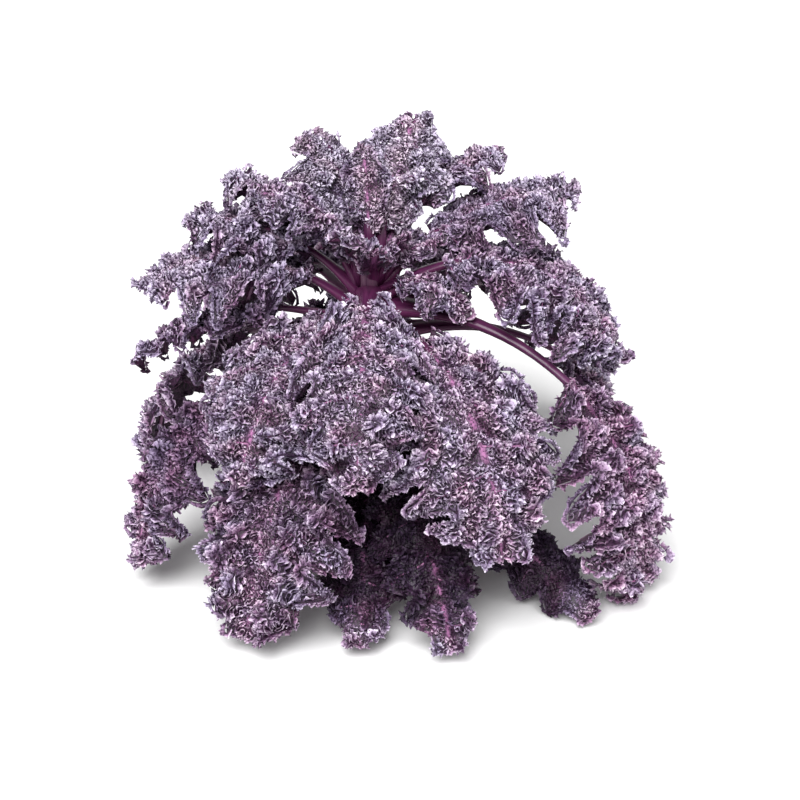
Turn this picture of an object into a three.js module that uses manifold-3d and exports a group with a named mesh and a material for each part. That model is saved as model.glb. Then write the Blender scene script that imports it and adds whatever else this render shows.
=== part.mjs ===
// A cut head of purple curly kale, standing on its cut stem with its leaves arching out and down.
// Millimetres, +Z up. The origin is the middle of the whole head's box, on the surface it stands on.
// +X is the right of the head as seen from its front, and -Y is towards the viewer.
// Every leaf is two bodies: its stalk, which is the leaf's petiole and midrib, and its blade,
// a thin lobed sheet with ruffled edges on both sides of the midrib, joined beyond the midrib's end.
import * as THREE from "three";
import { mergeVertices } from "three/addons/utils/BufferGeometryUtils.js";
import Module from "manifold-3d";

const wasm = await Module();
wasm.setup();

// The stem
const STEM_HEIGHT = 288;
const STEM_BASE_RADIUS = 24;
const STEM_CROWN_RADIUS = 17;
const STEM_TAPER = 1.5; // above 1, the stem narrows mostly towards its top
const STEM_DOME = 12; // height of the rounded top of the stem
const STEM_SIDES = 20;
const STEM_ROWS = 22;
const DOME_ROWS = 3;
const SCAR_COUNT = 7; // marks of the leaves that were picked from the lower stem
const SCAR_START = 18; // height of the lowest scar
const SCAR_STEP = 9.5; // height from one scar to the next
const SCAR_RISE = 2.2; // how far a scar stands out
const SCAR_SPREAD = 9; // reach of a scar along and round the stem
const GOLDEN_ANGLE = 137.5; // turn from one leaf to the next up the stem, degrees

// The blades
const BLADE_THICKNESS = 1.2;
const BLADE_ENDS = 0.05; // how much of its narrow start and tip the blade leaves out
const BLADE_WIDEST = 0.8; // below 1, the blade is widest nearer to the stem than to the tip
const BLADE_FULLNESS = 0.7; // below 1, the blade widens quickly from its ends
const LOBE_LENGTH = 44; // length of blade per lobe
const LOBE_DEPTH = 0.36; // how far a notch cuts in, as a share of the half width
const LOBE_SHIFT = 0.4; // how far the left lobes are ahead of the right ones, in lobes
const NOTCH_SHARPNESS = 1.5;
const NOTCH_RISE = 0.1; // how far the notches stand over the lobes, as a share of the half width
const EDGE_RUFFLE = 5; // height of the ruffle at the blade's edge
const EDGE_TOOTH = 0.04; // how far the ruffled edge runs in and out, as a share of the half width
const BLADE_SWEEP = 0.42; // how far the side veins lean towards the tip
const BLADE_ARCH = 0.34; // how far the edges hang below the midrib, as a share of the half width
const ROW_LENGTH = 14; // length of blade per row of faces
const LEAST_ROWS = 8;
const WIDE_BLADE = 50; // half width from which a blade has three faces a side
const LEAST_CLEARANCE = 1.6; // lowest height of a blade's middle surface above the ground
const GROUND_BEND = 10; // height below which a hanging blade turns to lie along the ground

// The stalks
const STALK_ROOT = 0.8; // where a stalk starts inside the stem, as a share of its radius
const STALK_LEAST_RADIUS = 1.6;
const STALK_STOUTNESS = 0.0125; // radius that each millimetre of the leaf's length adds
const STALK_TIP = 0.26; // radius at the tip, as a share of the full one
const STALK_TAPER = 0.8; // below 1, the stalk narrows mostly near the stem
const STALK_FLARE = 0.45; // how much thicker the stalk is at the stem
const STALK_FLARE_LENGTH = 22;
const STALK_FLATNESS = 0.82; // height of the stalk's section over its width
const STALK_SIDES = 6;
const STALK_STEPS = 9;
const MIDRIB_STEPS = 60;
const LATE_BEND = 1.2; // above 1, a leaf bends from its rise to its fall mostly near its tip
const RIB_REACH = 0.84; // share of the blade's length where the blade is open for the midrib
const RIB_STOP = 0.8; // share of the blade's length that the midrib reaches
const RIB_GAP = 0.55; // clearance between a midrib and its blade
const STEM_GAP = 1.2; // clearance between a stalk's end and the flat sides of the stem
const UNDER_GROUND = -20; // where the space that is kept for the stem starts

// Each leaf: bearing is its direction in plan from +X, height its place on the stem, rise and fall
// its slope at the stem and at the tip, turn its sideways drift and roll the twist of its blade, all
// in degrees or mm. width is the half width of its blade, bare the share of its length without blade.
const LEAVES = [
  // upright leaves at the back of the crown
  { bearing: 67, height: 262, rise: 83, fall: 14, length: 182, width: 52, bare: 0.26, turn: 1, roll: 11 },
  { bearing: 113, height: 254, rise: 68, fall: 24, length: 175, width: 48, bare: 0.28, turn: 7, roll: 23 },
  { bearing: 153, height: 263, rise: 58, fall: -3, length: 174, width: 52, bare: 0.28, turn: 10, roll: 13 },
  { bearing: 46, height: 250, rise: 68, fall: -13, length: 214, width: 38, bare: 0.44, turn: -1, roll: -19 },
  // leaves that spread to the sides
  { bearing: 18, height: 267, rise: 44, fall: -12, length: 212, width: 74, bare: 0.28, turn: 4, roll: -2 },
  { bearing: 171, height: 255, rise: 48, fall: -14, length: 188, width: 60, bare: 0.3, turn: 2, roll: 5 },
  { bearing: 186, height: 238, rise: 44, fall: -34, length: 228, width: 74, bare: 0.24, roll: 4 },
  { bearing: 198, height: 221, rise: 29, fall: -38, length: 236, width: 39, bare: 0.34, roll: 34, turn: 1 },
  { bearing: -13, height: 254, rise: 41, fall: -79, length: 286, width: 78, bare: 0.24, roll: 1, turn: -1 },
  // leaves that arch towards the front
  { bearing: 238, height: 242, rise: 18, fall: -78, length: 254, width: 82, bare: 0.22 },
  { bearing: 268, height: 260, rise: 20, fall: -68, length: 276, width: 64, bare: 0.2 },
  { bearing: -63, height: 226, rise: 21, fall: -86, length: 326, width: 88, bare: 0.24, turn: -2, roll: 3 },
  // long outer leaves that hang to the ground
  { bearing: 210, height: 205, rise: 4, fall: -86, length: 340, width: 54, bare: 0.42 },
  { bearing: 246, height: 192, rise: 2, fall: -78, length: 336, width: 78, bare: 0.34 },
  { bearing: -32, height: 242, rise: 13, fall: -107, length: 450, width: 74, bare: 0.46, roll: 4 },
  // low leaves near the ground, and one that hangs at the left side
  { bearing: -44, height: 84, rise: -4, fall: -29, length: 284, width: 34, bare: 0.42, roll: 30 },
  { bearing: 268, height: 92, rise: 0, fall: -42, length: 250, width: 44, bare: 0.2 },
  { bearing: -74, height: 122, rise: 2, fall: -54, length: 286, width: 48, bare: 0.22 },
  { bearing: 184, height: 140, rise: -10, fall: -74, length: 192, width: 50, bare: 0.3 },
  // young leaves round the heart
  { bearing: 262, height: 273, rise: 86, fall: 0, length: 94, width: 28, bare: 0.24, turn: -60 },
  { bearing: -38, height: 261, rise: 42, fall: -58, length: 112, width: 30, bare: 0.24 },
  { bearing: 176, height: 278, rise: 75, fall: -10, length: 136, width: 38, bare: 0.26, roll: -14 },
  { bearing: 99, height: 282, rise: 89, fall: 47, length: 112, width: 26, bare: 0.24 },
  // leaves at the back
  { bearing: 72, height: 232, rise: 24, fall: -74, length: 320, width: 84, bare: 0.22 },
  { bearing: 124, height: 230, rise: 20, fall: -76, length: 312, width: 84, bare: 0.22 },
  { bearing: 36, height: 222, rise: 16, fall: -88, length: 372, width: 76, bare: 0.44 },
  { bearing: 98, height: 192, rise: 2, fall: -76, length: 372, width: 80, bare: 0.34 },
  { bearing: 154, height: 200, rise: 4, fall: -90, length: 366, width: 76, bare: 0.34 },
  { bearing: 3, height: 210, rise: 12, fall: -94, length: 352, width: 66, bare: 0.5 },
].map((leaf, k) => ({ name: "leaf_" + String(k + 1).padStart(2, "0"), turn: 0, roll: 0, ...leaf }));

const COLOURS = {
  blade: { color: 0x4a3350, roughness: 0.62, metalness: 0 },
  stalk: { color: 0x6b2149, roughness: 0.45, metalness: 0 },
  stem: { color: 0x5a2d4e, roughness: 0.5, metalness: 0 },
};
const materials = Object.fromEntries(
  Object.entries(COLOURS).map(([key, look]) => [key, new THREE.MeshStandardMaterial(look)]),
);

const { degToRad, lerp, clamp } = THREE.MathUtils;

// The stem's radius at a height, before scars.
function stemRadius(z) {
  const wall = STEM_HEIGHT - STEM_DOME;
  const body = lerp(STEM_BASE_RADIUS, STEM_CROWN_RADIUS, clamp(z / wall, 0, 1) ** STEM_TAPER);
  const intoDome = clamp((z - wall) / STEM_DOME, 0, 1);
  return body * Math.sqrt(1 - intoDome ** 2);
}

// How far the scars of picked leaves lift the stem's surface.
function scarLift(z, angle) {
  let lift = 0;
  for (let k = 0; k < SCAR_COUNT; k++) {
    const turn = angle - degToRad(k * GOLDEN_ANGLE);
    const along = (z - SCAR_START - SCAR_STEP * k) / SCAR_SPREAD;
    const round = (Math.atan2(Math.sin(turn), Math.cos(turn)) * STEM_BASE_RADIUS) / SCAR_SPREAD;
    lift = Math.max(lift, SCAR_RISE * Math.exp(-along * along - round * round));
  }
  return lift;
}

// The outline of the stem, or of the space around it, from its foot on the axis to its top.
function stemOutline(foot, extra) {
  const wall = STEM_HEIGHT - STEM_DOME;
  const outline = [new THREE.Vector2(0, foot), new THREE.Vector2(stemRadius(0) + extra, foot)];
  for (let k = 1; k <= STEM_ROWS; k++) {
    const z = (wall * k) / STEM_ROWS;
    outline.push(new THREE.Vector2(stemRadius(z) + extra, z));
  }
  for (let k = 1; k < DOME_ROWS; k++) {
    const z = wall + STEM_DOME * Math.sin((k / DOME_ROWS) * (Math.PI / 2));
    outline.push(new THREE.Vector2(stemRadius(z) + extra, z));
  }
  outline.push(new THREE.Vector2(0, STEM_HEIGHT + extra));
  return outline;
}

function latheUpright(outline) {
  return new THREE.LatheGeometry(outline, STEM_SIDES).rotateX(Math.PI / 2);
}

function stemGeometry() {
  const geometry = latheUpright(stemOutline(0, 0));
  const place = geometry.attributes.position;
  const point = new THREE.Vector3();
  for (let k = 0; k < place.count; k++) {
    point.fromBufferAttribute(place, k);
    const reach = Math.hypot(point.x, point.y);
    if (reach < 1 || point.z < 1) continue; // the axis and the flat cut end stay as they are
    const grown = 1 + scarLift(point.z, Math.atan2(point.y, point.x)) / reach;
    place.setXYZ(k, point.x * grown, point.y * grown, point.z);
  }
  return geometry;
}

// A closed mesh as a solid: only its places are kept, and places that agree are joined.
function solidOf(geometry) {
  const bare = new THREE.BufferGeometry();
  bare.setAttribute("position", geometry.attributes.position);
  bare.setIndex(geometry.index);
  const merged = mergeVertices(bare, 1e-4);
  return new wasm.Manifold(
    new wasm.Mesh({
      numProp: 3,
      vertProperties: merged.attributes.position.array,
      triVerts: new Uint32Array(merged.index.array),
    }),
  );
}

function geometryOf(solid) {
  const mesh = solid.getMesh();
  const place = new Float32Array(mesh.numVert * 3);
  for (let k = 0; k < mesh.numVert; k++) {
    place.set(mesh.vertProperties.subarray(k * mesh.numProp, k * mesh.numProp + 3), k * 3);
  }
  const geometry = new THREE.BufferGeometry();
  geometry.setAttribute("position", new THREE.BufferAttribute(place, 3));
  geometry.setIndex(new THREE.BufferAttribute(mesh.triVerts, 1));
  geometry.computeVertexNormals();
  return geometry;
}

// The space that the stem takes, with its clearance. The stalks are cut to it.
const stemSpace = solidOf(latheUpright(stemOutline(UNDER_GROUND, STEM_GAP)));

// Heights near the ground are eased, so that what hangs lower lies along it.
function eased(z) {
  const span = GROUND_BEND - LEAST_CLEARANCE;
  return z > GROUND_BEND ? z : LEAST_CLEARANCE + span * Math.exp((z - GROUND_BEND) / span);
}

// The leaf's midrib in its own frame, where it heads along +X and z is the height above the ground.
// Each station holds the point, its tangent, the side direction and the blade's upward direction.
function midrib(leaf) {
  const stations = [];
  const point = new THREE.Vector3(STALK_ROOT * stemRadius(leaf.height), 0, leaf.height);
  for (let k = 0; k <= MIDRIB_STEPS; k++) {
    const share = k / MIDRIB_STEPS;
    const slope = degToRad(lerp(leaf.rise, leaf.fall, share ** LATE_BEND));
    const heading = degToRad(leaf.turn * share * share);
    const tangent = new THREE.Vector3(
      Math.cos(slope) * Math.cos(heading),
      Math.cos(slope) * Math.sin(heading),
      Math.sin(slope),
    );
    const side = new THREE.Vector3(-Math.sin(heading), Math.cos(heading), 0);
    side.applyAxisAngle(tangent, degToRad(leaf.roll) * share);
    const up = tangent.clone().cross(side);
    stations.push({ point: point.clone(), tangent, side, up });
    point.addScaledVector(tangent, leaf.length / MIDRIB_STEPS);
  }
  return stations;
}

function stationAt(stations, share) {
  const place = clamp(share, 0, 1) * (stations.length - 1);
  const low = Math.min(Math.floor(place), stations.length - 2);
  const [a, b] = [stations[low], stations[low + 1]];
  const mix = (key) => a[key].clone().lerp(b[key], place - low);
  return { point: mix("point"), tangent: mix("tangent"), side: mix("side"), up: mix("up") };
}

function stalkRadius(leaf, share) {
  const full = STALK_LEAST_RADIUS + leaf.length * STALK_STOUTNESS;
  const flare = 1 + STALK_FLARE * Math.exp((-share * leaf.length) / STALK_FLARE_LENGTH);
  return full * lerp(1, STALK_TIP, share ** STALK_TAPER) * flare;
}

function bladeLength(leaf) {
  return leaf.length * (1 - leaf.bare);
}

// Half width of the blade at a share of its length, before lobes.
function plainHalfWidth(leaf, share) {
  const phase = lerp(BLADE_ENDS, 1 - BLADE_ENDS, share ** BLADE_WIDEST);
  return leaf.width * Math.sin(Math.PI * phase) ** BLADE_FULLNESS;
}

// 1 at the notches between lobes and -1 at the middles of the lobes.
function lobeWave(leaf, share, sideSign) {
  const lobes = Math.max(2, Math.round(bladeLength(leaf) / LOBE_LENGTH));
  return Math.cos(2 * Math.PI * (lobes * share + (sideSign > 0 ? 0 : LOBE_SHIFT)));
}

// A point of the blade's middle surface: share runs along the blade, across from -1 to 1 over it.
// The row's number turns the ruffle up and out on every other row.
function bladePoint(leaf, stations, share, across, row) {
  const sideSign = Math.sign(across) || 1;
  const rowSign = row % 2 ? 1 : -1;
  const out = Math.abs(across);
  const wave = lobeWave(leaf, share, sideSign);
  const notch = (0.5 + 0.5 * wave) ** NOTCH_SHARPNESS;
  const lobed = 1 - LOBE_DEPTH * notch * out;
  const toothed = 1 + rowSign * EDGE_TOOTH * out ** 3;
  const reach = plainHalfWidth(leaf, share) * lobed * toothed * out;
  const ruffle = rowSign * EDGE_RUFFLE * out ** 2 * Math.min(1, leaf.width / WIDE_BLADE);
  const notchLift = NOTCH_RISE * leaf.width * out ** 1.5 * wave;
  const arch = (BLADE_ARCH * reach * reach) / leaf.width;
  const { point, tangent, side, up } = stationAt(stations, lerp(leaf.bare, 1, share));
  const made = point
    .addScaledVector(side, sideSign * reach)
    .addScaledVector(tangent, BLADE_SWEEP * reach * (1 - share ** 2))
    .addScaledVector(up, ruffle + notchLift - arch);
  made.z = eased(made.z);
  return made;
}

// The grid's normals: at each point the sum of those of the cells around it, made 1 long.
function gridNormals(grid, cells) {
  const normals = grid.map((line) => line.map(() => new THREE.Vector3()));
  const rising = new THREE.Vector3();
  const falling = new THREE.Vector3();
  for (const [i, j] of cells) {
    rising.subVectors(grid[i + 1][j + 1], grid[i][j]);
    falling.subVectors(grid[i][j + 1], grid[i + 1][j]);
    const normal = rising.clone().cross(falling).normalize();
    for (const corner of [normals[i], normals[i + 1]]) {
      corner[j].add(normal);
      corner[j + 1].add(normal);
    }
  }
  normals.flat().forEach((normal) => normal.normalize());
  return normals;
}

// A closed thin sheet from a grid of points: each cell that is present has an upper and a lower
// face, split alike, and a wall along every edge where the neighbouring cell is missing.
function sheetGeometry(grid, present) {
  const columns = grid[0].length;
  const cells = grid.flatMap((line, i) => line.map((_, j) => [i, j])).filter(([i, j]) => present(i, j));
  const normals = gridNormals(grid, cells);
  const places = [BLADE_THICKNESS / 2, -BLADE_THICKNESS / 2].flatMap((shift) =>
    grid.flatMap((line, i) =>
      line.flatMap((point, j) => point.clone().addScaledVector(normals[i][j], shift).toArray()),
    ),
  );
  const at = (i, j) => i * columns + j;
  const lower = grid.length * columns;
  const faces = [];
  const wall = (a, b) => faces.push(a, a + lower, b + lower, a, b + lower, b);
  for (const [i, j] of cells) {
    const [a, b, c, d] = [at(i, j), at(i + 1, j), at(i + 1, j + 1), at(i, j + 1)];
    faces.push(a, b, c, a, c, d);
    faces.push(a + lower, c + lower, b + lower, a + lower, d + lower, c + lower);
    if (!present(i, j - 1)) wall(a, b);
    if (!present(i + 1, j)) wall(b, c);
    if (!present(i, j + 1)) wall(c, d);
    if (!present(i - 1, j)) wall(d, a);
  }
  const geometry = new THREE.BufferGeometry();
  geometry.setAttribute("position", new THREE.Float32BufferAttribute(places, 3));
  geometry.setIndex(faces);
  return geometry;
}

function bladeGeometry(leaf, stations) {
  const rows = Math.max(LEAST_ROWS, Math.round(bladeLength(leaf) / ROW_LENGTH));
  const outs = leaf.width >= WIDE_BLADE ? [0.36, 0.7, 1] : [0.5, 1];
  const inward = outs.map((out) => -out).reverse();
  const grid = [];
  for (let i = 0; i <= rows; i++) {
    const share = i / rows;
    const ribHalf = stalkRadius(leaf, lerp(leaf.bare, 1, share)) + RIB_GAP;
    const ribSide = ribHalf / plainHalfWidth(leaf, share);
    const line = [...inward, -ribSide, ribSide, ...outs];
    grid.push(line.map((across) => bladePoint(leaf, stations, share, across, i)));
  }
  const columns = grid[0].length - 1;
  const ribColumn = outs.length;
  const ribRows = Math.floor(rows * RIB_REACH);
  const inGrid = (i, j) => i >= 0 && i < rows && j >= 0 && j < columns;
  return sheetGeometry(grid, (i, j) => inGrid(i, j) && (j !== ribColumn || i > ribRows));
}

// The petiole and midrib: a closed cylinder bent along the midrib's line, cut to the stem's side.
function stalkGeometry(leaf, stations) {
  const geometry = new THREE.CylinderGeometry(1, 1, 1, STALK_SIDES, STALK_STEPS);
  const end = lerp(leaf.bare, 1, RIB_STOP);
  const place = geometry.attributes.position;
  const point = new THREE.Vector3();
  for (let k = 0; k < place.count; k++) {
    point.fromBufferAttribute(place, k);
    const share = (0.5 + point.y) * end;
    const radius = stalkRadius(leaf, share);
    const at = stationAt(stations, share);
    const made = at.point.addScaledVector(at.side, point.x * radius);
    made.addScaledVector(at.up, -point.z * radius * STALK_FLATNESS);
    made.z = eased(made.z);
    place.setXYZ(k, made.x, made.y, made.z);
  }
  const cut = solidOf(geometry).subtract(stemSpace);
  const bodies = cut.decompose().sort((a, b) => b.volume() - a.volume());
  return geometryOf(bodies[0]);
}

function part(name, geometry, material) {
  const mesh = new THREE.Mesh(geometry, material);
  mesh.name = name;
  return mesh;
}

const head = new THREE.Group();
head.add(part("stem", stemGeometry(), materials.stem));
for (const leaf of LEAVES) {
  const stations = midrib(leaf);
  const group = new THREE.Group();
  group.rotation.z = degToRad(leaf.bearing);
  group.add(part(leaf.name + "_stalk", stalkGeometry(leaf, stations), materials.stalk));
  group.add(part(leaf.name + "_blade", bladeGeometry(leaf, stations), materials.blade));
  head.add(group);
}

// The origin is the middle of the head's box, on the surface it stands on.
const middle = new THREE.Box3().setFromObject(head, true).getCenter(new THREE.Vector3());
for (const child of head.children) {
  child.position.x -= middle.x;
  child.position.y -= middle.y;
}

export default head;
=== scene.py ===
"""Looks of a cut head of purple curly kale, standing on its stem.

Every leaf is a thin shell that is lobed, arched and puffed, covered on its upper side and along its
margin with ruffled frills. Lengths are in millimetres in the leaves' own numbers, and in metres in
the meshes. The leaves' shapes follow the same formulas as the solids that they replace.
"""
import math

import bpy
import numpy as np
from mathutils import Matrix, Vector


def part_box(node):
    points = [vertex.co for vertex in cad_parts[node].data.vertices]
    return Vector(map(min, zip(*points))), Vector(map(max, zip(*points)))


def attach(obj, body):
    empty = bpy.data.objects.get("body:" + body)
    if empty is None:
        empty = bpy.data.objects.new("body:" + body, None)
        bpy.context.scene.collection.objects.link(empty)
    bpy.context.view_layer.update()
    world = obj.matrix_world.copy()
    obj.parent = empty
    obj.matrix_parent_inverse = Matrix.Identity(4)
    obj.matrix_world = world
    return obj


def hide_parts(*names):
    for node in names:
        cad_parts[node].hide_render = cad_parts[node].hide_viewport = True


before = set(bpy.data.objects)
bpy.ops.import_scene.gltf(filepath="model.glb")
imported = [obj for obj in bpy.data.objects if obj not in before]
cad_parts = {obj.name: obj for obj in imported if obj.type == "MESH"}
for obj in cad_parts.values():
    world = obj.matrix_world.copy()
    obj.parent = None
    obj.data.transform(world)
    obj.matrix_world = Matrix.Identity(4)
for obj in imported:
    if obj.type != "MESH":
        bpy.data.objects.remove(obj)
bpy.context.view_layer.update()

MM = 0.001
SEED = 20

# The stem, as in the solid
STEM_HEIGHT = 288
STEM_BASE_RADIUS = 24
STEM_CROWN_RADIUS = 17
STEM_TAPER = 1.5
STEM_DOME = 12
SCAR_COUNT = 7
SCAR_START = 18
SCAR_STEP = 9.5
SCAR_RISE = 2.2
SCAR_SPREAD = 9
GOLDEN_ANGLE = 137.5

# The bark, which is finer than the solid
CROWN_START = 225  # height above which the leaf stalks hide how the stem narrows to its tip
TIP_SHARE = 0.5  # radius of the stem at its tip, as a share of the solid's
BARK_SIDES = 60
BARK_ROWS = 84
DOME_ROWS = 8
END_RADIUS = 0.1  # of the tiny rings that close the stem at its foot and tip
PITH_SHARE = 0.55  # radius of the ring on the cut end, as a share of the stem's
SCAR_DENT = 1.1  # how far the middle of a scar is sunk
SCAR_DENT_RANGE = (0.55, 0.95)  # nearness to a scar's middle over which the dent sets in
SCAR_COLOUR_RANGE = (0.5, 0.8)  # and over which its colour does
GRAIN_WAVES = (5, 16, 0.4)
GRAIN_HEIGHT = 0.35
GRAIN_STRETCH = 0.22  # how much slower the grain changes along the stem than round it
GRAIN_FOOT = 3  # height over which scars and grain set in above the cut end
GRAIN_TIP = (0.5, 4)  # radii over which they fade towards the tip
GRAIN_SEAM = 0.6  # angle over which the grain fades at the seam

# The leaves' form, as in the solids
STALK_ROOT = 0.8
STALK_LEAST_RADIUS = 1.6
STALK_STOUTNESS = 0.0125
STALK_TIP = 0.26
STALK_TAPER = 0.8
STALK_FLARE = 0.45
STALK_FLARE_LENGTH = 22
STALK_FLATNESS = 0.82
MIDRIB_STEPS = 60
LATE_BEND = 1.2
BLADE_ENDS = 0.05
BLADE_WIDEST = 0.8
BLADE_FULLNESS = 0.7
LOBE_LENGTH = 44
LOBE_DEPTH = 0.36
LOBE_SHIFT = 0.4
NOTCH_SHARPNESS = 1.5
NOTCH_RISE = 0.1
EDGE_RUFFLE = 5
BLADE_SWEEP = 0.42
BLADE_ARCH = 0.34
ROW_LENGTH = 14
LEAST_ROWS = 8
WIDE_BLADE = 50
LEAST_CLEARANCE = 1.6
GROUND_BEND = 10
GROUND_CLEARANCE = 0.4  # least height of any point of a leaf

# The random fields of a leaf: length of the waves, how many are added up, spread of their length
PUFF_WAVES = (28, 14, 0.3)  # swelling of the blade between its veins
RUFFLE_WAVES = (4.2, 20, 0.15)  # waves of the frills
ROLL_WAVES = (9, 10, 0.4)  # the side that a frill's rim is rolled over to
CLUMP_WAVES = (13, 10, 0.4)  # clumps that the frills grow in
CURL_WAVES = (3.6, 12, 0.4)  # curls along a crest
PATCH_WAVES = (22, 10, 0.4)  # smooth strips beside the midrib
TINT_WAVES = (38, 8, 0.5)  # drift between blue and pink
FRILL_WAVES = (4.8, 20, 0.15)  # the frills follow the zero lines of this field

# The leaf's shell
SHELL_STEP = 7.5  # size of a face
LEAST_SHELL_ROWS = 14
LEAST_SHELL_COLUMNS = 12
SHELL_THICKNESS = 0.8
FARTHEST_OUT = 1.3  # in half widths, the farthest that the surface's formulas look out
PUFF_HEIGHT = 4.2  # how far the blade swells between its veins
PUFF_RANGE = (0, 0.35)  # part of the half width over which the swelling sets in
LOBE_PUFF = 5  # how far each lobe swells between two notches
LOBE_PUFF_START = (0.1, 0.5)  # parts of the half width over which it sets in and fades
LOBE_PUFF_END = (0.7, 1)
EDGE_DROP = 2  # how far the outermost part of the blade turns down
EDGE_DROP_RANGE = (0.7, 1.1)
VEIN_TINT = 0.8  # how strongly the side veins are coloured, where the midrib is 1
VEIN_TINT_SPREAD = 2.2
MIDRIB_TINT_SPREAD = 2.6

# The smooth strips beside the midrib, where no frills stand
STRIP_HALF = -3.8  # mean of their half width, which is below 0 so that they come and go
STRIP_SWING = 3.2  # how far a random field between these limits widens and narrows them
STRIP_LIMITS = (-0.6, 1.6)
STRIP_STRETCH = 0.3  # how much slower the strips change across the blade than along it
STRIP_EDGE = 3  # width over which a strip fades

# The frills on the blade
FRILL_STEP = 1.2  # grid that the lines are found on
LINE_MARGIN = 0.12  # least distance of a line from a point of that grid, in steps
FRILL_REACH = 0.99  # how far out frills stand, in half widths
PATCH_LIMIT = 0.5  # frills stand where the smooth strips are weaker than this
FRILL_HEIGHT = 4.4
PUFF_TALL = (0.85, 0.22)  # mean of the frills' height and how much taller they are on the puffs
PUFF_TALL_LIMIT = 1.5
MIDRIB_TALL = 0.5  # how tall they are at the midrib
MIDRIB_REACH = 14  # distance from the midrib where they reach their full height
FRILL_ROWS = (  # height, ruffle, curl and painted shade of each row of a frill's points, darkest at its foot
    (0.0, -0.2, 0.0, 0.0),
    (0.8, 0.7, 0.1, 0.62),
    (1.0, 1.0, 1.0, 1.0),
)
FRILL_CURL = 1.3  # how far a frill's rim is rolled over
ROLL_SHARPNESS = 2.5  # how soon it changes from one side to the other
FRILL_RUFFLE = 1.3  # how far a frill waves to its sides
FRILL_NOTCH = 0.42  # how deep the crest dips between its curls, as a share of the height
CURL_LIMIT = 1.2
CREST_SHADE = (0.76, 0.26)  # mean and spread of the colour's value along a crest, painted lighter where its curls rise and darker in the dips between them
CLUMP_HEIGHT = 0.26  # how much taller the frills of a clump are, as a share of their height

# The frills' painted shade: the factors by which the colour's value drops, and the parts of a field
# where it does
VALLEY_SHADE = 0.55  # in the valleys between the puffs
VALLEY_RANGE = (-1.5, -0.1)
PIT_SHADE = 0.12  # in the deepest of them
PIT_RANGE = (-1.5, -1.15)
CLUMP_SHADE = 0.66  # in the clefts between the clumps
CLEFT_RANGE = (-1.3, 0.1)
LIGHT_EASE = 0.5  # how much of that drop a fully light leaf is spared
INNER_SHADE_START = 0.8  # share of the blade, scaled by a leaf's painted shade near the stem, where that shade starts to fade
INNER_SHADE_END = 0.97  # share of the blade where all painted shade near the stem has faded
TINT_SWING = 0.28  # how far the tint drifts towards blue and pink
MIDRIB_PINK = 0.4  # how much pinker the frills are at the midrib
MIDRIB_PINK_SPREAD = 13

# The frills round the margin
MARGIN_STEP = 1.25
MARGIN_SAMPLES = 600
TIP_SAMPLES = 40
MARGIN_LENGTH = 3.8  # how far a frill stands out
MARGIN_WAVE = 4.7
MARGIN_RUFFLE = 2.2
MARGIN_SNAKE = 0.8  # how far it also waves along the margin, as a share of the ruffle
MARGIN_DRIFT = 1.6  # how far the phase of its waves wanders
MARGIN_UNEVEN = 0.3
MARGIN_BEAT = 0.25  # how much every second wave stands out farther than the mean
MARGIN_SHADE = (0.8, 0.2)  # mean and spread of the colour's value along a frill, painted lighter where its wave turns up and darker where it turns down
MARGIN_ROWS = ((0.0, 0.05), (0.62, 0.4), (1.0, 0.95))  # place across the frill, colour's value, painted darker towards the blade as shade
MARGIN_LEANS = ((0.5, 0.0), (-0.35, 2.0))  # tilt from the blade and phase of each of the two frills
DRIFT_PATH = (0.35, 0.2)  # lines through the random fields that the drift and the length follow
UNEVEN_PATH = (1, 0.6)

# The stalks, midribs and side veins
STALK_ROWS = 36
STALK_SIDES = 12
TUBE_CLOSING = 0.03  # radius of the tiny rings that close a tube, as a share of its own
RIB_END = 0.92  # share of the blade's length that the midrib reaches
RIB_SINK = 1.0  # how far the midrib lies below the blade, in its own radii
RIB_SINK_REACH = 0.15  # share of the leaf's length over which it sinks to there
SHEATH_SPREAD = 1.2  # how much wider a stalk is where it clasps the stem
SHEATH_RISE = 0.4  # how much thicker it is there, as a share of that
SHEATH_LENGTH = 90
GROOVE_DEPTH = 0.08  # groove along the top of a stalk, as a share of its radius
GROOVE_SPREAD = 0.5
VEIN_SEGMENTS = 10
VEIN_SIDES = 5
VEIN_RADIUS = 0.33  # of a side vein at the midrib, as a share of the stalk's
VEIN_TIP = 0.25  # its radius at the margin, as a share of that
VEIN_REACH = (0.01, 0.86)  # where a side vein starts and ends, in half widths
VEIN_SINK = 0.4
VEIN_RUN = 0.8  # where its colour lies along a stalk's ramp
LAST_VEIN = 0.9  # share of the blade beyond which there is no side vein
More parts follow.
